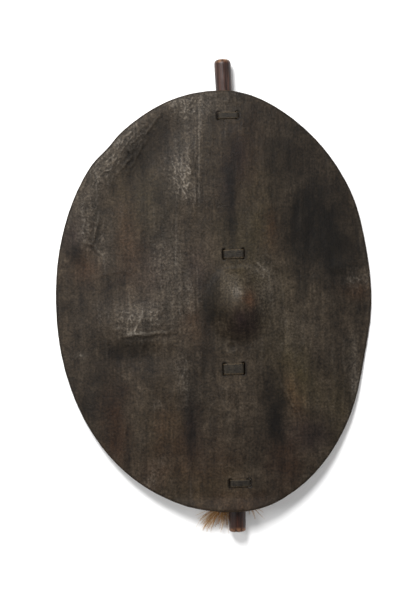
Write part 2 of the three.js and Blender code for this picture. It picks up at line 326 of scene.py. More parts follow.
def crease_relief(x, y):
    relief = np.zeros(np.shape(x))
    for number, (path, half_width, depth, lip, wander) in enumerate(CREASES):
        wx = x + wander * noise(x, y, 22, 200 + number, 2)
        wy = y + wander * noise(x, y, 22, 300 + number, 2)
        signed, along = path_distance(wx, wy, path)
        taper = np.sqrt(np.clip(np.sin(math.pi * np.clip(along, 0.02, 0.98)), 0, 1))
        valley = np.exp(-((signed / half_width) ** 2))
        fold = np.exp(-(((signed - 1.6 * half_width) / (1.3 * half_width)) ** 2))
        relief += taper * (lip * fold - depth * valley)
    return relief


def wrinkle_relief(x, y):
    relief = np.zeros(np.shape(x))
    for number, (cx, cy, half_width, half_length, turn, depth, size, along) in enumerate(WRINKLES):
        mask = patch(x, y, cx, cy, half_width, half_length, turn)
        c, s = math.cos(math.radians(turn)), math.sin(math.radians(turn))
        across = x * c + y * s + 5 * noise(x, y, 30, 400 + number, 2)
        relief += depth * mask * (ridges(across, y * c - x * s, size, 500 + number, 2, along) - 0.35)
    return relief


def fine_relief(x, y):
    """Everything that the solid leaves out, in millimetres above its smooth form."""
    inside = smooth_step(edge_distance(x, y) / 14)
    broad = 1.7 * noise(x, y, 95, 11, 3, 1.7) + 0.9 * noise(x, y, 38, 23, 2, 1.6)
    flutes = 0.55 * noise(x, y, 17, 37, 2, 7.0)
    grain = 0.22 * (ridges(x, y, 11, 41, 2, 1.3) - 0.4)
    away = slit_distance(x, y)
    lip = LIP["rise"] * np.exp(-((away / LIP["reach"]) ** 2))
    ring = np.hypot(x - DIMPLE["x"], y - DIMPLE["y"]) / DIMPLE["radius"]
    dimple = DIMPLE["ring"] * np.exp(-((ring - 1.35) / 0.35) ** 2) - DIMPLE["depth"] * np.exp(-ring ** 4)
    calm = 0.25 + 0.75 * smooth_step(boss_share(x, y) / 1.4)  # the boss is smoother than the rest
    relief = (broad * calm * (0.35 + 0.65 * inside) + flutes + grain) * seat_share(x, y)
    relief = relief + crease_relief(x, y) + wrinkle_relief(x, y) + dimple + lip
    shoulder = np.clip(1 - edge_distance(x, y) / SHOULDER["reach"], 0, 1)
    return relief - SHOULDER["drop"] * shoulder ** 2


def front_height(x, y, fine=True):
    rise = HIDE_FRONT_Z + seat_share(x, y) * base_rise(x, y)
    if fine:
        rise = rise + fine_relief(x, y)
    return smooth_max(rise, HIDE["thickness"], HIDE["rest_blend"])


def front_normal(x, y):
    """Outward normal of the smooth form."""
    step = 1.0
    slope_x = (front_height(x + step, y, False) - front_height(x - step, y, False)) / (2 * step)
    slope_y = (front_height(x, y + step, False) - front_height(x, y - step, False)) / (2 * step)
    normal = np.stack([-slope_x, -slope_y, np.ones(np.shape(x))], -1)
    return normal / np.linalg.norm(normal, axis=-1, keepdims=True)


# ---- Mesh of the hide ----

FRONT_PITCH = 2.75  # between points of the hide's front face
BACK_PITCH = 5.2
RIM_POINTS = 760
RIM_ROUND = 1.6  # the cut edge bulges this far past the faces
SLIT_ROUND = 0.5
THINNEST = 2.5  # the hide is nowhere thinner
WALL_STEPS = 5


def rim_loop():
    angle = np.linspace(0, 2 * math.pi, RIM_POINTS, endpoint=False)
    ragged = 0.5 * noise(angle * 160, angle * 0, 9, 71, 2)
    radius = edge_radius(angle) - RIM_ROUND + ragged
    return np.stack([radius * np.cos(angle), radius * np.sin(angle)], -1)


def slit_loop(sx, sy, half):
    radius = SLIT["width"] / 2
    turns = np.linspace(0, math.pi, 9)
    top = [(sx + radius * math.cos(t), sy + half - radius + radius * math.sin(t)) for t in turns]
    low = [(sx - radius * math.cos(t), sy - half + radius - radius * math.sin(t)) for t in turns]
    sides = max(2, round((2 * half - SLIT["width"]) / 2.5))
    left = [(sx - radius, sy + (half - radius) * (1 - 2 * i / sides)) for i in range(1, sides)]
    right = [(sx + radius, sy - (half - radius) * (1 - 2 * i / sides)) for i in range(1, sides)]
    return np.array(top + left + low + right)


def inner_points(pitch):
    rows = pitch * math.sqrt(3) / 2
    ys = np.arange(-HIDE["bottom"] - 5, HIDE["top"] + 5, rows)
    xs = np.arange(-HIDE["left"] - 5, HIDE["right"] + 5, pitch)
    x, y = np.meshgrid(xs, ys)
    x = x + pitch / 2 * (np.arange(len(ys)) % 2)[:, None]
    x, y = x.ravel(), y.ravel()
    keep = (edge_distance(x, y) > RIM_ROUND + 0.6 * pitch) & (slit_distance(x, y) > 0.55 * pitch)
    return np.stack([x[keep], y[keep]], -1)


def triangulate(loops, loose):
    """Triangles over the first loop, with the other loops as holes. Points keep their order."""
    points = np.concatenate(loops + [loose])
    edges, start = [], 0
    for loop in loops:
        count = len(loop)
        edges += [(start + i, start + (i + 1) % count) for i in range(count)]
        start += count
    result = delaunay_2d_cdt([Vector(p) for p in points], edges, [], 0, 1e-6)
    source = np.array([ids[0] for ids in result[3]])
    triangles = source[np.array(result[2])]
    middle = points[triangles].mean(1)
    inside = (slit_distance(middle[:, 0], middle[:, 1]) > 0)
    inside &= edge_distance(middle[:, 0], middle[:, 1]) > 0.5 * RIM_ROUND
    return points, triangles[inside]


def wall_between(loop, front, back, bulge, outward):
    """Rounded wall from the front face's edge to the back face's, as new points and quads."""
    count = len(loop)
    turns = [math.pi * (i + 1) / (WALL_STEPS + 1) for i in range(WALL_STEPS)]
    points = []
    for turn in turns:
        share = (1 - math.cos(turn)) / 2
        points.append(front + (back - front) * share + outward * (bulge * math.sin(turn)))
    return np.concatenate(points), [
        [(row, i), (row, (i + 1) % count), (row + 1, (i + 1) % count), (row + 1, i)]
        for row in range(WALL_STEPS + 1) for i in range(count)]


def front_face(loops):
    plan, triangles = triangulate(loops, inner_points(FRONT_PITCH))
    x, y = plan.T
    return np.stack([x, y, front_height(x, y)], -1), triangles


def back_face(loops):
    plan, triangles = triangulate(loops, inner_points(BACK_PITCH))
    x, y = plan.T
    z = front_height(x, y)
    followed = 0.6 * (z - front_height(x, y, fine=False))  # the back shows part of the relief
    depth = HIDE["thickness"] + 0.35 * noise(x, y, 26, 83, 3) + followed
    depth = depth - 0.8 * np.clip(1 - edge_distance(x, y) / 10, 0, 1)
    back = np.stack([x, y, z], -1) - front_normal(x, y) * np.maximum(depth, THINNEST)[:, None]
    back[:, 2] = np.maximum(back[:, 2], 0)
    return back, triangles[:, ::-1]


def hide_mesh():
    """Points, faces, and how much flesh side (0 to 1) and cut edge (0 or 1) each point is."""
    loops = [rim_loop()] + [slit_loop(*row) for row in SLITS]
    front, front_triangles = front_face(loops)
    back, back_triangles = back_face(loops)
    points = [front, back]
    flesh, rim = [np.zeros(len(front)), np.ones(len(back))], [np.zeros(len(front) + len(back))]
    faces = [tuple(t) for t in front_triangles] + [tuple(t) for t in back_triangles + len(front)]
    start, total = 0, len(front) + len(back)
    for number, loop in enumerate(loops):
        ids = np.arange(start, start + len(loop))
        ahead = np.roll(loop, -1, 0) - np.roll(loop, 1, 0)
        outward = np.stack([ahead[:, 1], -ahead[:, 0], np.zeros(len(loop))], -1)
        outward /= np.linalg.norm(outward, axis=1, keepdims=True)
        if number:
            outward = -outward  # a slit's wall swells into the slit
        bulge = SLIT_ROUND if number else RIM_ROUND
        wall, quads = wall_between(loop, front[ids], back[ids], bulge, outward)
        wall[:, 2] = np.maximum(wall[:, 2], 0)
        rows = [ids] + [total + np.arange(len(loop)) + row * len(loop) for row in range(WALL_STEPS)]
        rows.append(ids + len(front))
        for quad in quads:
            face = [int(rows[row][i]) for row, i in quad]
            faces.append(tuple(face[::-1]) if number == 0 else tuple(face))
        points.append(wall)
        flesh.append(np.repeat(np.linspace(0.2, 0.8, WALL_STEPS), len(loop)))
        rim.append(np.ones(len(wall)))
        start += len(loop)
        total += len(wall)
    return np.concatenate(points), faces, np.concatenate(flesh), np.concatenate(rim)


# ---- Pieces ----


def add_piece(name, points, faces, stands_for, material, masks=None):
    """A smooth mesh in the row frame that rides with the shield and stands for a solid."""
    mesh = bpy.data.meshes.new(name)
    mesh.from_pydata(to_row(points).tolist(), [], faces)
    mesh.polygons.foreach_set("use_smooth", [True] * len(mesh.polygons))
    for key, values in (masks or {}).items():
        attribute = mesh.attributes.new(key, "FLOAT", "POINT")
        attribute.data.foreach_set("value", np.asarray(values, np.float32))
    mesh.update()
    piece = bpy.data.objects.new(name, mesh)
    bpy.context.scene.collection.objects.link(piece)
    mesh.materials.append(material)
    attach(piece, "root")
    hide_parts(stands_for)
    return piece


# ---- Stains, wear, painted shade and painted highlight on the hide, as masks from 0 to 1 ----

# Soft ovals in plan millimetres: x, y, half width, half length, turn, strength.
STAINS_AND_PAINTED_LIGHT = {
    "dark": [
        # dark: stains, and painted shade in the band along the bottom edge (0, -398), the boss's lower
        # side (14, -62), the band below the cross crease (-198, -86) and the two upright flutes below the
        # boss (-85, -248) and (82, -238); the boss's left flank (-40, -18) is partly stain and partly
        # painted shade.
        (172, 150, 46, 105, 12, 0.95), (205, 95, 30, 60, 10, 0.45), (95, 290, 75, 75, 0, 0.4),
        (0, -398, 130, 15, 0, 0.3), (8, 215, 12, 58, 2, 0.85), (10, 150, 10, 40, 0, 0.5),
        (22, 285, 13, 36, 0, 0.45), (-166, 272, 22, 58, -40, 0.5), (-178, 300, 14, 40, -40, 0.4),
        (-40, -18, 20, 46, 0, 0.6), (-34, 34, 14, 20, 0, 0.35), (14, -62, 34, 24, 0, 0.4),
        (-198, -86, 36, 16, 0, 0.45), (-248, -140, 42, 60, 0, 0.3), (-240, -240, 22, 62, 0, 0.42),
        (-85, -248, 15, 78, 0, 0.75), (82, -238, 17, 92, 3, 0.8), (100, -325, 24, 34, 0, 0.45),
        (-299, 104, 10, 18, 0, 0.75), (-284, 150, 14, 22, 0, 0.3), (150, -262, 28, 22, 0, 0.4),
        (240, 80, 26, 26, 0, 0.35), (-280, 45, 34, 22, 0, 0.25), (-130, 210, 26, 20, 0, 0.25),
        (-120, 170, 24, 60, 0, 0.2), (-225, -95, 16, 14, 0, 0.35), (-134, -288, 24, 9, 90, 0.45),
        (-20, 345, 12, 16, 0, 0.3), (130, 100, 40, 60, 0, 0.25), (15, 110, 20, 14, 0, 0.2),
        (-10, -110, 26, 16, 0, 0.2)],
    "worn": [
        # worn: wear, lighter and glossier; painted highlight at the spot on the boss (14, 19), the glossy
        # fold along the upper left edge (-226, 288), the bright wrinkle net (-86, 256), the top of the
        # cross crease (-192, -54) and the turned right edge (244, -165).
        (-72, 385, 34, 24, 0, 0.6), (-226, 288, 20, 92, -40, 0.55), (-276, 190, 22, 40, -20, 0.45),
        (-286, 142, 12, 16, 0, 0.55), (-86, 256, 22, 42, 0, 0.8), (-78, 215, 18, 18, 0, 0.4),
        (-120, 80, 28, 62, 0, 0.45), (-172, -22, 56, 28, 0, 0.5), (-192, -54, 16, 9, 0, 0.8),
        (-96, 8, 24, 44, 0, 0.35), (68, 22, 22, 34, 0, 0.4), (244, -165, 9, 40, 4, 0.75),
        (238, -105, 10, 34, -4, 0.35), (-172, -352, 60, 12, 58, 0.4), (14, 19, 10, 9, 0, 0.95),
        (2, 34, 22, 18, 30, 0.4), (62, 8, 14, 30, 0, 0.35), (-95, -148, 16, 40, 0, 0.35),
        (-30, 380, 40, 20, 0, 0.35), (248, 36, 20, 12, 0, 0.4), (-240, 112, 12, 34, -14, 0.3),
        (-60, 330, 14, 50, 0, 0.3), (-296, -98, 12, 7, 0, 0.4), (-150, -197, 12, 8, 0, 0.4),
        (120, -60, 40, 50, 0, 0.2), (60, 60, 26, 18, 30, 0.25)],
    "rust": [
        (38, 1, 12, 16, 0, 0.95), (-232, -235, 20, 66, 0, 0.55), (96, -316, 24, 40, 0, 0.6),
        (-135, -245, 22, 44, 0, 0.35), (248, 12, 22, 16, 0, 0.35), (85, 130, 18, 40, 0, 0.3),
        (-90, -300, 24, 60, 0, 0.3), (0, -392, 60, 18, 0, 0.35), (-195, 130, 20, 70, 0, 0.3),
        (-280, 70, 24, 26, 0, 0.35), (40, 270, 30, 60, 0, 0.25), (-70, -40, 26, 30, 0, 0.3),
        (-160, -340, 60, 24, 58, 0.3), (120, -190, 16, 50, 12, 0.35), (-40, -330, 40, 50, 0, 0.2)],
    "olive": [
        (124, -150, 30, 66, 14, 0.6), (40, 120, 50, 60, 0, 0.3), (-170, 190, 50, 60, 0, 0.25),
        (-130, -250, 40, 60, 0, 0.25), (60, 210, 40, 60, 0, 0.25), (40, 0, 90, 90, 0, 0.2),
        (-60, -360, 60, 40, 0, 0.25), (200, -220, 30, 60, 0, 0.25)],
    "purple": [
        (26, -42, 24, 28, 0, 0.6), (8, 225, 14, 44, 0, 0.4), (-84, -240, 14, 40, 0, 0.35),
        (150, -262, 34, 26, 0, 0.4), (-300, 140, 20, 30, 0, 0.3), (24, 288, 14, 26, 0, 0.35),
        (-60, 60, 24, 40, 0, 0.25), (-150, 60, 30, 50, 0, 0.2)],
}


def stain_and_painted_light_masks(x, y):
    masks = {}
    wx = x + 9 * noise(x, y, 45, 601, 3) + 3 * noise(x, y, 12, 602, 2)
    wy = y + 12 * noise(x, y, 60, 603, 3)
    for number, (name, rows) in enumerate(STAINS_AND_PAINTED_LIGHT.items()):
        left_over = np.ones(np.shape(x))
        patchy = np.clip(1 + 0.55 * noise(x, y, 24, 610 + number, 3, 1.4), 0, 1.5)
        for cx, cy, half_width, half_length, turn, strength in rows:
            soft = patch(wx, wy, cx, cy, 1.15 * half_width, 1.15 * half_length, turn)
            left_over *= 1 - np.clip(strength * soft * patchy, 0, 1)
        masks[name] = 1 - left_over
    return masks


def height_above_neighbours(z, faces, rounds):
    """How far each point's height z stands above the mean of those round it."""
    pairs = np.concatenate([faces[:, [0, 1]], faces[:, [1, 2]], faces[:, [2, 0]]])
    pairs = np.concatenate([pairs, pairs[:, ::-1]])
    degree = np.bincount(pairs[:, 0], minlength=len(z))
    smooth = z.copy()
    for _ in range(rounds):
        smooth = np.bincount(pairs[:, 0], smooth[pairs[:, 1]], len(z)) / np.maximum(degree, 1)
    return z - smooth


# ---- Node materials ----


class Graph:
    """Short calls for building one material's nodes. Colours are linear."""

    def __init__(self, name):
        self.material = bpy.data.materials.new(name)
        self.material.use_nodes = True
        self.tree = self.material.node_tree
        self.shader = self.tree.nodes["Principled BSDF"]
        coords = self.tree.nodes.new("ShaderNodeTexCoord")
        self.place = coords.outputs["Object"]

    def link(self, value, socket):
        if isinstance(value, bpy.types.NodeSocket):
            self.tree.links.new(value, socket)
        elif isinstance(value, (tuple, list)) and len(value) == 3 and socket.type == "RGBA":
            socket.default_value = (*value, 1)
        else:
            socket.default_value = value

    def stretched(self, scale):
        node = self.tree.nodes.new("ShaderNodeMapping")
        self.link(self.place, node.inputs["Vector"])
        self.link(scale, node.inputs["Scale"])
        return node.outputs[0]

    def noise(self, scale, detail=4, rough=0.55, at=None, warp=0.0):
        node = self.tree.nodes.new("ShaderNodeTexNoise")
        self.link(at or self.place, node.inputs["Vector"])
        self.link(scale, node.inputs["Scale"])
        self.link(detail, node.inputs["Detail"])
        self.link(rough, node.inputs["Roughness"])
        self.link(warp, node.inputs["Distortion"])
        return node.outputs["Fac"]

    def cracks(self, scale, at=None):
        """Distance to the edges of irregular cells: 0 on a crack."""
        node = self.tree.nodes.new("ShaderNodeTexVoronoi")
        node.feature = "DISTANCE_TO_EDGE"
        self.link(at or self.place, node.inputs["Vector"])
        self.link(scale, node.inputs["Scale"])
        return node.outputs["Distance"]

    def mask(self, name):
        node = self.tree.nodes.new("ShaderNodeAttribute")
        node.attribute_name = name
        return node.outputs["Fac"]

    def math(self, operation, a, b=0.0):
        node = self.tree.nodes.new("ShaderNodeMath")
        node.operation = operation
        self.link(a, node.inputs[0])
        self.link(b, node.inputs[1])
        return node.outputs[0]

    def span(self, value, low, high, to_low=0.0, to_high=1.0):
        """Maps low..high to to_low..to_high, held at both ends."""
        node = self.tree.nodes.new("ShaderNodeMapRange")
        for socket, number in zip(node.inputs[:5], (value, low, high, to_low, to_high)):
            self.link(number, socket)
        return node.outputs[0]

    def ramp(self, value, *stops):
        node = self.tree.nodes.new("ShaderNodeValToRGB")
        self.link(value, node.inputs[0])
        elements = node.color_ramp.elements
        while len(elements) < len(stops):
            elements.new(0.5)
        for element, (at, colour) in zip(elements, stops):
            element.position, element.color = at, (*colour, 1)
        return node.outputs[0]

    def mix(self, share, a, b):
        node = self.tree.nodes.new("ShaderNodeMix")
        node.data_type = "RGBA"
        self.link(share, node.inputs[0])
        self.link(a, node.inputs[6])
        self.link(b, node.inputs[7])
        return node.outputs[2]

    def shade(self, colour, value):
        """colour times a grey value."""
        node = self.tree.nodes.new("ShaderNodeVectorMath")
        node.operation = "SCALE"
        self.link(colour, node.inputs[0])
        self.link(value, node.inputs["Scale"])
        return node.outputs[0]

    def bump(self, height, distance):
        node = self.tree.nodes.new("ShaderNodeBump")
        self.link(height, node.inputs["Height"])
        self.link(distance, node.inputs["Distance"])
        self.link(1.0, node.inputs["Strength"])
        return node.outputs[0]

    def finish(self, colour, roughness, normal, **constants):
        self.link(colour, self.shader.inputs["Base Color"])
        self.link(roughness, self.shader.inputs["Roughness"])
        self.link(normal, self.shader.inputs["Normal"])
        for key, value in constants.items():
            self.link(value, self.shader.inputs[key.replace("_", " ")])
        return self.material


def hide_material():
    g = Graph("dried_hide")
    broad = g.noise(16, 3, 0.5, warp=0.6)
    blotch = g.noise(55, 5, 0.6, warp=0.8)
    fleck = g.noise(240, 4, 0.6)
    grain = g.noise(900, 3, 0.6)
    streak = g.noise(1, 4, 0.55, g.stretched((230, 24, 24)))
    upright = g.noise(1, 3, 0.5, g.stretched((60, 7, 7)))
    colour = g.ramp(
        g.math("ADD", g.math("MULTIPLY", blotch, 0.55), g.math("MULTIPLY", broad, 0.45)),
        (0.30, (0.0080, 0.0052, 0.0032)), (0.46, (0.0180, 0.0127, 0.0080)),
        (0.58, (0.0290, 0.0210, 0.0137)), (0.72, (0.0500, 0.0378, 0.0262)))
    for name, tint, share in (
            ("olive", (0.038, 0.030, 0.0115), 0.75), ("rust", (0.060, 0.024, 0.009), 0.62),
            ("purple", (0.022, 0.012, 0.0145), 0.8)):
        colour = g.mix(g.math("MULTIPLY", g.mask(name), share), colour, tint)
    # lighter where worn: wear, and painted highlight at the worn table's highlight spots
    worn = g.math("MULTIPLY", g.mask("worn"), g.span(g.math("ADD", fleck, blotch), 0.75, 1.25, 0.25, 1.0))
    colour = g.mix(g.math("MULTIPLY", worn, 0.7), colour, (0.100, 0.084, 0.066))
    # painted highlight: light colour on the relief's crests, partly wear, stronger where worn
    crest = g.math("MULTIPLY", g.span(g.mask("crest"), 0.15, 0.9, 0.0, 0.75),
                   g.span(g.mask("worn"), 0, 0.6, 0.12, 1))
    colour = g.mix(crest, colour, (0.125, 0.108, 0.088))
    tone = g.math("MULTIPLY", g.span(fleck, 0.34, 0.66, 0.55, 1.45), g.span(streak, 0.34, 0.66, 0.80, 1.2))
    tone = g.math("MULTIPLY", tone, g.span(upright, 0.35, 0.65, 0.80, 1.2))
    tone = g.math("MULTIPLY", tone, g.span(grain, 0.35, 0.65, 0.86, 1.14))
    # darker by the dark mask: stains, and the painted shade from the dark table and along the edges and
    # slits
    tone = g.math("MULTIPLY", tone, g.span(g.mask("dark"), 0, 0.8, 1.0, 0.22))
    # painted shade: darker in the relief's hollows, where crest is below 0
    tone = g.math("MULTIPLY", tone, g.span(g.mask("crest"), -0.8, -0.1, 0.72, 1.0))
    colour = g.shade(colour, tone)
    fibre = g.noise(1, 5, 0.65, g.stretched((420, 130, 130)), warp=0.5)
    flesh = g.ramp(fibre, (0.3, (0.070, 0.045, 0.026)), (0.6, (0.17, 0.118, 0.072)),
                   (0.75, (0.26, 0.19, 0.125)))
    flesh = g.shade(flesh, g.span(blotch, 0.3, 0.7, 0.65, 1.15))
    colour = g.mix(g.span(g.mask("flesh"), 0.25, 0.75), colour, flesh)
    rim = g.ramp(g.noise(300, 4, 0.6), (0.35, (0.014, 0.009, 0.005)), (0.65, (0.060, 0.038, 0.020)))
    colour = g.mix(g.math("MULTIPLY", g.mask("rim"), 0.8), colour, rim)
    rough = g.math("ADD", g.span(blotch, 0.3, 0.7, 0.40, 0.58), g.span(g.mask("dark"), 0, 1, 0.0, 0.10))
    rough = g.math("SUBTRACT", rough, g.math("MULTIPLY", worn, 0.22))
    rough = g.math("ADD", rough, g.math("MULTIPLY", g.mask("flesh"), 0.3))
    crackle = g.span(g.cracks(150, g.stretched((1.5, 0.8, 1))), 0.0, 0.09)
    height = g.math("ADD", g.math("MULTIPLY", grain, 0.6), g.math("MULTIPLY", streak, 1.3))
    height = g.math("ADD", height, g.math("MULTIPLY", fleck, 1.4))
    height = g.math("ADD", height, g.math("MULTIPLY", crackle, 0.28))
    return g.finish(colour, rough, g.bump(height, 0.0006), IOR=1.5, Specular_IOR_Level=0.13)


def wood_material():
    g = Graph("handled_wood")
    grain = g.noise(1, 6, 0.6, g.stretched((330, 9, 330)), warp=0.4)
    fine = g.noise(1, 3, 0.6, g.stretched((1500, 40, 1500)))
    blotch = g.noise(38, 4, 0.55)
    colour = g.ramp(grain, (0.32, (0.008, 0.0038, 0.003)), (0.5, (0.021, 0.0085, 0.0058)),
                    (0.62, (0.042, 0.0155, 0.0095)), (0.75, (0.062, 0.029, 0.018)))
    colour = g.shade(colour, g.span(blotch, 0.35, 0.65, 0.65, 1.3))
    worn = g.math("MULTIPLY", g.mask("worn"), g.span(g.noise(120, 5, 0.65), 0.42, 0.60))
    colour = g.mix(worn, colour, (0.36, 0.175, 0.085))
    end = g.ramp(g.math("FRACT", g.math("MULTIPLY", g.mask("ring"), 9.0)),
                 (0.0, (0.05, 0.028, 0.018)), (0.7, (0.15, 0.085, 0.05)), (1.0, (0.06, 0.035, 0.022)))
    colour = g.mix(g.mask("end"), colour, g.shade(end, g.span(blotch, 0.3, 0.7, 0.6, 1.2)))
    rough = g.math("ADD", g.span(grain, 0.3, 0.7, 0.26, 0.40), g.math("MULTIPLY", g.mask("end"), 0.3))
    height = g.math("ADD", g.math("MULTIPLY", grain, 1.0), g.math("MULTIPLY", fine, 0.5))
    return g.finish(colour, rough, g.bump(height, 0.0004), IOR=1.5, Specular_IOR_Level=0.28)


def thong_material():
    g = Graph("hide_thong")
    blotch = g.noise(140, 4, 0.6)
    along = g.noise(1, 4, 0.6, g.stretched((90, 700, 90)))
    colour = g.ramp(blotch, (0.3, (0.007, 0.0053, 0.0038)), (0.5, (0.0150, 0.0118, 0.0082)),
                    (0.7, (0.028, 0.0225, 0.0155)))
    colour = g.shade(colour, g.span(along, 0.3, 0.7, 0.7, 1.3))
    edge = g.math("MULTIPLY", g.mask("edge"), g.span(g.noise(420, 4, 0.65), 0.42, 0.58))
    colour = g.mix(g.math("MULTIPLY", edge, 0.75), colour, (0.12, 0.082, 0.042))
    colour = g.shade(colour, g.span(g.noise(620, 4, 0.65), 0.35, 0.65, 0.6, 1.4))
    rough = g.span(blotch, 0.3, 0.7, 0.42, 0.62)
    height = g.math("ADD", along, g.math("MULTIPLY", g.noise(900, 3, 0.6), 0.5))
    return g.finish(colour, rough, g.bump(height, 0.0009), IOR=1.5, Specular_IOR_Level=0.16)


def fibre_material():
    g = Graph("plant_fibre")
    streak = g.noise(600, 3, 0.6)
    colour = g.ramp(g.mask("shade"), (0.0, (0.095, 0.036, 0.009)), (0.45, (0.31, 0.135, 0.034)),
                    (0.8, (0.52, 0.29, 0.11)), (1.0, (0.66, 0.48, 0.28)))
    colour = g.shade(colour, g.span(streak, 0.3, 0.7, 0.75, 1.2))
    return g.finish(colour, 0.6, g.bump(streak, 0.0002), IOR=1.45)


def floor_material():
    g = Graph("pale_floor")
    mottle = g.noise(9, 4, 0.5)
    colour = g.ramp(mottle, (0.3, (0.93, 0.93, 0.93)), (0.7, (0.96, 0.96, 0.96)))
    return g.finish(colour, 0.75, g.bump(g.noise(700, 3, 0.5), 0.00005), Specular_IOR_Level=0.2)


# ---- The hide ----


CREST = dict(height=0.3, rounds=4, clear=5.0)  # a full crest, and how far crests stay off edges
PAINTED_EDGE_SHADE = dict(rim=0.75, rim_reach=2.6, slit=0.8, slit_reach=2.2)  # painted shade: dark lines along the cut edge and round the slits


def build_hide():
    points, faces, flesh, rim = hide_mesh()
    x, y = points[:, 0], points[:, 1]
    to_edge, to_slit = edge_distance(x, y), slit_distance(x, y)
    triangles = np.array([f[:3] for f in faces] + [(f[0], f[2], f[3]) for f in faces if len(f) == 4])
    # crest: height above the local mean, which the finish turns into painted highlight on crests and
    # painted shade in hollows
    crest = height_above_neighbours(fine_relief(x, y), triangles, CREST["rounds"]) / CREST["height"]
    plain = (flesh > 0) | (to_edge < CREST["clear"]) | (to_slit < CREST["clear"])
    # painted shade along the cut edge and round the slits, put into the dark mask
    edge_shade_line = PAINTED_EDGE_SHADE["rim"] * np.exp(-((to_edge / PAINTED_EDGE_SHADE["rim_reach"]) ** 2))
    slit_shade_line = PAINTED_EDGE_SHADE["slit"] * np.exp(-((to_slit / PAINTED_EDGE_SHADE["slit_reach"]) ** 2))
    masks = stain_and_painted_light_masks(x, y)
    masks["dark"] = np.maximum(masks["dark"], np.where(rim > 0, 0, edge_shade_line))
    masks["dark"] = np.maximum(masks["dark"], slit_shade_line)
    masks["crest"] = np.clip(np.where(plain, 0, crest), -1, 1)
    masks.update(flesh=flesh, rim=rim)
    return add_piece("hide_skin", points, faces, "hide", hide_material(), masks)


# ---- The stick ----

STICK_SIDES = 72
STICK_ROWS = 300
END_ROUND = dict(top=(8.0, 9.0), bottom=(4.0, 4.0))  # how far in from the side, and along


def stick_profile():
    """Rows of (y, radius, end mask) from the bottom end's middle to the top end's."""
    rows = []
    for y_end, (inward, along), direction in (
            (STICK["bottom"], END_ROUND["bottom"], 1), (STICK["top"], END_ROUND["top"], -1)):
        flat = STICK["radius"] - inward
        face = [(y_end, share * flat, 1.0) for share in (0.02, 0.25, 0.5, 0.75, 0.95)]
        turns = [math.pi / 2 * i / 10 for i in range(11)]
        corner = [(y_end + direction * along * (1 - math.cos(t)),
                   STICK["radius"] - inward + inward * math.sin(t), 0.6 * (1 - i / 10))
                  for i, t in enumerate(turns)]
        rows.append(face + corner)
    low, high = rows[0][-1][0], rows[1][-1][0]
    middle = [(low + (high - low) * i / STICK_ROWS, STICK["radius"], 0.0) for i in range(1, STICK_ROWS)]
    return rows[0] + middle + rows[1][::-1]


def build_stick():
    rows = np.array(stick_profile())
    y, radius, end = rows[:, 0:1], rows[:, 1:2], rows[:, 2:3]
    turn = np.linspace(0, 2 * math.pi, STICK_SIDES, endpoint=False)[None, :]
    around_x, around_z = np.cos(turn) * 3, np.sin(turn) * 3
    hewn = 0.45 * noise(around_x * 12 + y * 0.02, around_z * 12 + y * 0.9, 40, 801, 2)
    hewn += 0.25 * noise(around_x * 9 + 0 * y, around_z * 9 + y * 0.06, 14, 803, 2)
    uneven = 0.7 * noise(around_x * 10, around_z * 10 + (y > 0) * 50, 14, 805, 2)
    full = smooth_step(radius / STICK["radius"] * 1.2 - 0.1)
    r = radius + (hewn - 0.5) * full * np.ones_like(turn)
    end_side = np.sign(y) * np.where(end > 0, 1, 0)
    spread_y = y + uneven * end_side * full
    x = stick_x(y) + r * np.cos(turn)
    z = STICK_Z + r * np.sin(turn)
    points = np.stack([x, spread_y * np.ones_like(turn), z], -1).reshape(-1, 3)
    count = STICK_SIDES
    faces = []
    for row in range(0, (len(rows) - 1) * count, count):
        faces += [(row + i, row + (i + 1) % count, row + count + (i + 1) % count, row + count + i)
                  for i in range(count)]
    first, last = len(points), len(points) + 1
    points = np.concatenate([points, [[stick_x(STICK["bottom"]), STICK["bottom"], STICK_Z],
                                      [stick_x(STICK["top"]), STICK["top"], STICK_Z]]])
    top = (len(rows) - 1) * count
    faces += [(first, (i + 1) % count, i) for i in range(count)]
    faces += [(last, top + i, top + (i + 1) % count) for i in range(count)]
    near_end = np.minimum(np.abs(y - STICK["bottom"]), np.abs(y - STICK["top"])) * np.ones_like(turn)
    worn = np.clip(1 - near_end / 9, 0, 1)
    ring = radius / STICK["radius"] * np.ones_like(turn)
    masks = {key: np.append(value.ravel(), extra) for key, value, extra in (
        ("worn", worn, [0.5, 0.5]), ("ring", ring, [0, 0]), ("end", end * np.ones_like(turn), [1, 1]))}
    return add_piece("stick_wood", points, faces, "stick", wood_material(), masks)


# ---- The thongs ----

STRAP_ROWS = 150
STRAP_SIDES = 22


def loop_line(y, lean):
    """The middle of a thong's loop, evenly spaced, as x, z and the outward normal."""
    radius = STICK["radius"] + GAP + STRAP["thickness"] / 2
    centre, top = stick_x(y), HIDE_FRONT_Z + GAP + STRAP["thickness"] / 2
    bend = STRAP["corner"] - STRAP["thickness"] / 2
    line = [(centre + radius * math.cos(t), STICK_Z + radius * math.sin(t))
            for t in np.linspace(math.pi, 2 * math.pi, 60)]
    line.append((centre + radius, STICK_Z + STRAP["lean_start"]))
    for side, turns in ((1, np.linspace(0, math.pi / 2, 9)), (-1, np.linspace(math.pi / 2, 0, 9))):
        line += [(centre + lean + side * (radius - bend + bend * math.cos(t)),
                  top - bend + bend * math.sin(t)) for t in turns]
    line.append((centre - radius, STICK_Z + STRAP["lean_start"]))
    line = np.array(line)
    closed = np.concatenate([line, line[:1]])
    walked = np.append(0, np.cumsum(np.hypot(*np.diff(closed, axis=0).T)))
    at = np.linspace(0, walked[-1], STRAP_ROWS, endpoint=False)
    x, z = np.interp(at, walked, closed[:, 0]), np.interp(at, walked, closed[:, 1])
    tx = np.roll(x, -1) - np.roll(x, 1)
    tz = np.roll(z, -1) - np.roll(z, 1)
    length = np.hypot(tx, tz)
    return x, z, tz / length, -tx / length


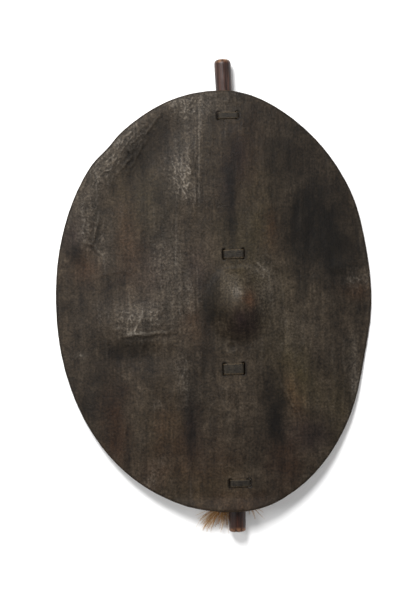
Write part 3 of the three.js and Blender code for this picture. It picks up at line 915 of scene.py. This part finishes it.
def strap_section(width, thickness):
    """Rounded strap section: across the width, out of the face, and how near the edge."""
    turns = np.linspace(0, 2 * math.pi, STRAP_SIDES, endpoint=False)
    c, s = np.cos(turns), np.sin(turns)
    across = width / 2 * np.sign(c) * np.abs(c) ** 0.35
    out = thickness / 2 * np.sign(s) * np.abs(s) ** 0.5
    return across, out, np.clip((np.abs(across) / (width / 2) - 0.72) / 0.25, 0, 1)


def grid_faces(rows, columns, closed_rows):
    last = rows if closed_rows else rows - 1
    return [(a * columns + i, ((a + 1) % rows) * columns + i,
             ((a + 1) % rows) * columns + (i + 1) % columns, a * columns + (i + 1) % columns)
            for a in range(last) for i in range(columns)]


def thong_tail(y, width):
    """The thong's loose end, curling out from the loop's left side on to the floor."""
    centre = stick_x(y)
    start = centre - STICK["radius"] - GAP - STRAP["thickness"] - 1.4
    line = [(start, STICK_Z + 7), (start - 0.3, STICK_Z), (start - 0.8, STICK_Z - 8), (start - 3.5, 5.2),
            (start - 9, 2.2), (start - 17, 1.7), (start - 24, 2.6)]
    line = np.array(line)
    walked = np.append(0, np.cumsum(np.hypot(*np.diff(line, axis=0).T)))
    at = np.linspace(0, walked[-1], 26)
    smooth = [np.interp(at, walked, line[:, k]) for k in (0, 1)]
    for _ in range(3):
        for value in smooth:
            value[1:-1] = (value[:-2] + 2 * value[1:-1] + value[2:]) / 4
    x, z = smooth
    tx, tz = np.gradient(x), np.gradient(z)
    length = np.hypot(tx, tz)
    taper = 1 - 0.55 * smooth_step(np.linspace(-0.6, 1, len(at)))
    across, out, edge = strap_section(width * 0.62, 2.0)
    nx, nz = tz / length, -tx / length
    drift = 1.5 + 2.5 * np.linspace(0, 1, len(at))  # it slants a little along the stick
    points = np.stack([
        x[:, None] + nx[:, None] * out, y + drift[:, None] + across * taper[:, None],
        z[:, None] + nz[:, None] * out], -1).reshape(-1, 3)
    points[:, 2] = np.maximum(points[:, 2], 0.2)
    faces = grid_faces(len(at), STRAP_SIDES, False)
    faces.append(tuple(range(STRAP_SIDES)))
    faces.append(tuple((len(at) - 1) * STRAP_SIDES + i for i in range(STRAP_SIDES))[::-1])
    return points, faces, np.tile(edge, len(at))


def build_thong(number, name, y, width, lean, material):
    x, z, nx, nz = loop_line(y, lean)
    across, out, edge = strap_section(width, STRAP["thickness"])
    row = np.arange(STRAP_ROWS)[:, None]
    ragged = 1 + 0.05 * noise(row * 0.09 + 0 * across, 0 * row + np.sign(across) * 3, 1, 900 + number, 2)
    rubbed = noise(row * 0.14 + 0 * across, 0 * row + across * 0.2, 1, 950 + number, 2)
    stand = out * (1 - 0.10 * np.clip(rubbed, 0, 1))
    points = np.stack([
        x[:, None] + nx[:, None] * stand, y + across * ragged, z[:, None] + nz[:, None] * stand], -1)
    points = points.reshape(-1, 3)
    points[:, 2] = np.maximum(points[:, 2], 0)
    faces = grid_faces(STRAP_ROWS, STRAP_SIDES, True)
    tail, tail_faces, tail_edge = thong_tail(y, width)
    faces += [tuple(i + len(points) for i in face) for face in tail_faces]
    points = np.concatenate([points, tail])
    masks = {"edge": np.append(np.tile(edge, STRAP_ROWS), tail_edge)}
    return add_piece(name + "_strap", points, faces, name, material, masks)


# ---- The fibre tuft ----


def tube(line, radii, sides):
    """Points and faces of a tube along a line, capped at both ends."""
    line = np.asarray(line, float)
    ahead = np.gradient(line, axis=0)
    ahead /= np.linalg.norm(ahead, axis=1, keepdims=True)
    side = np.cross(ahead, [0.13, 0.21, 1.0])
    side /= np.linalg.norm(side, axis=1, keepdims=True)
    up = np.cross(side, ahead)
    turns = np.linspace(0, 2 * math.pi, sides, endpoint=False)
    ring = np.cos(turns)[None, :, None] * side[:, None] + np.sin(turns)[None, :, None] * up[:, None]
    points = (line[:, None] + ring * np.asarray(radii)[:, None, None]).reshape(-1, 3)
    faces = grid_faces(len(line), sides, False)
    faces.append(tuple(range(sides)))
    faces.append(tuple((len(line) - 1) * sides + i for i in range(sides))[::-1])
    return points, faces


def binding_line():
    """Cord wound round the stick: a helix with a slightly uneven pitch."""
    turns = 4.0
    steps = np.linspace(0, 1, 180)
    angle = 2 * math.pi * turns * steps + 2.2
    radius = STICK["radius"] + GAP + 1.15
    wobble = 0.35 * noise(steps * 22, steps * 0, 1, 1001, 2)
    return np.stack([
        stick_x(TUFT["y"]) + radius * np.cos(angle),
        TUFT["y"] + TUFT["band_width"] * 0.86 * (steps - 0.5) + wobble,
        STICK_Z + radius * np.sin(angle)], -1), np.full(len(steps), 1.12)


# Bundles of loose fibre: how many, then degrees below the stick's left side and the tip's x, y
# and z, each with its spread.
BUNDLES = [
    (70, (12, 14), (-62, 9), (-437, 8), (6, 3)),  # the brush at the far left
    (60, (16, 12), (-46, 12), (-424, 8), (12, 4)),
    (46, (24, 12), (-30, 9), (-430, 9), (8, 4)),
    (18, (34, 10), (-20, 6), (-441, 8), (5, 3)),
    (14, (150, 12), (36, 12), (-421, 8), (12, 5)),  # a few wisps right of the stick
]


def strand_line(rng, turn, tip):
    angle = math.radians(turn)
    radius = STICK["radius"] + GAP + TUFT["band_thickness"] + rng.uniform(0.2, 1.6)
    x = stick_x(TUFT["y"])
    root = np.array([
        x - radius * math.cos(angle), TUFT["y"] + rng.uniform(-3, 4), STICK_Z - radius * math.sin(angle)])
    bend = (root + tip) / 2
    bend[1] = TUFT["y"] - rng.uniform(2, 12)
    bend[0] += rng.normal(0, 4)
    t = np.linspace(0, 1, 9)[:, None]
    line = (1 - t) ** 2 * root + 2 * t * (1 - t) * bend + t ** 2 * tip
    curl = rng.normal(0, 1.0, 3)
    line += np.sin(t * math.pi * rng.uniform(1.2, 2.6)) * curl * t
    line[:, 2] = np.maximum(line[:, 2], 0.7)
    return line


def build_tuft():
    rng = np.random.default_rng(417)
    points, faces, shades, total = [], [], [], 0

    def add(line, radii, sides, shade):
        nonlocal total
        more, more_faces = tube(line, radii, sides)
        points.append(more)
        faces.extend(tuple(i + total for i in face) for face in more_faces)
        shades.append(np.repeat(shade, sides))
        total += len(more)

    line, radii = binding_line()
    add(line, radii, 8, np.full(len(line), 0.35))
    for count, turn, tip_x, tip_y, tip_z in BUNDLES:
        for _ in range(count):
            tip = np.array([rng.normal(*tip_x), rng.normal(*tip_y), abs(rng.normal(*tip_z)) + 0.8])
            line = strand_line(rng, rng.normal(*turn), tip)
            radii = rng.uniform(0.32, 0.62) * np.linspace(1, 0.45, len(line))
            base = np.clip(rng.normal(0.5, 0.2), 0.05, 1)
            add(line, radii, 5, np.clip(base + 0.35 * np.linspace(-0.4, 1, len(line)), 0, 1))
    return add_piece("fibre_tuft_strands", np.concatenate(points), faces, "fibre_tuft",
                     fibre_material(), {"shade": np.concatenate(shades)})


# ---- Floor, light and camera ----

# The eye's place in plan millimetres, its height and view in metres, its roll in degrees.
CAMERA = dict(x=-53.1, y=-6.05, height=3.0, roll=1.86, view_height=1.1834, sensor=36.0)
FLOOR_GAP = 0.0003  # metres between the shield's lowest point and the floor


def build_floor():
    mesh = bpy.data.meshes.new("floor")
    size = 6.0
    corners = [(-size, -size, 0), (size, -size, 0), (size, size, 0), (-size, size, 0)]
    mesh.from_pydata(corners, [], [(0, 1, 2, 3)])
    floor = bpy.data.objects.new("floor", mesh)
    bpy.context.scene.collection.objects.link(floor)
    floor.location.z = CAD_BOX[0][2] - FLOOR_GAP
    mesh.materials.append(floor_material())


def area_light(name, towards, distance, size, power):
    """A square softbox, towards = (degrees from +X, degrees up), aimed at the shield's middle."""
    heading, up = (math.radians(v) for v in towards)
    level = math.cos(up)
    place = distance * Vector((level * math.cos(heading), level * math.sin(heading), math.sin(up)))
    light = bpy.data.lights.new(name, "AREA")
    light.shape = "SQUARE"
    light.size = size
    light.energy = power
    lamp = bpy.data.objects.new(name, light)
    lamp.location = place
    lamp.rotation_euler = (-place).to_track_quat("-Z", "Y").to_euler()
    bpy.context.scene.collection.objects.link(lamp)


def build_lights():
    area_light("key", (112, 52), 2.6, 0.9, 88)
    area_light("left_fill", (178, 40), 2.8, 1.0, 30)
    area_light("right_fill", (5, 40), 2.8, 1.4, 20)
    area_light("low_fill", (-70, 40), 3.0, 1.6, 8)
    world = bpy.data.worlds.new("studio")
    bpy.context.scene.world = world
    world.use_nodes = True
    world.node_tree.nodes["Background"].inputs["Color"].default_value = (1, 1, 1, 1)
    world.node_tree.nodes["Background"].inputs["Strength"].default_value = 0.20


def build_camera():
    camera = bpy.data.cameras.new("camera")
    camera.sensor_width = CAMERA["sensor"]
    surface = HIDE_FRONT_Z * MM
    camera.lens = CAMERA["sensor"] * (CAMERA["height"] - surface) / CAMERA["view_height"]
    eye = bpy.data.objects.new("camera", camera)
    eye.location = to_row([CAMERA["x"], CAMERA["y"], CAMERA["height"] / MM])
    eye.rotation_euler = (0, 0, math.radians(-CAMERA["roll"]))
    bpy.context.scene.collection.objects.link(eye)
    bpy.context.scene.camera = eye


build_hide()
build_stick()
strap_material = thong_material()
for order, (thong_name, thong_y, thong_width, thong_lean) in enumerate(PLACES):
    build_thong(order, thong_name, thong_y, thong_width, thong_lean, strap_material)
build_tuft()
build_floor()
build_lights()
build_camera()
bpy.context.scene.view_settings.view_transform = "Standard"
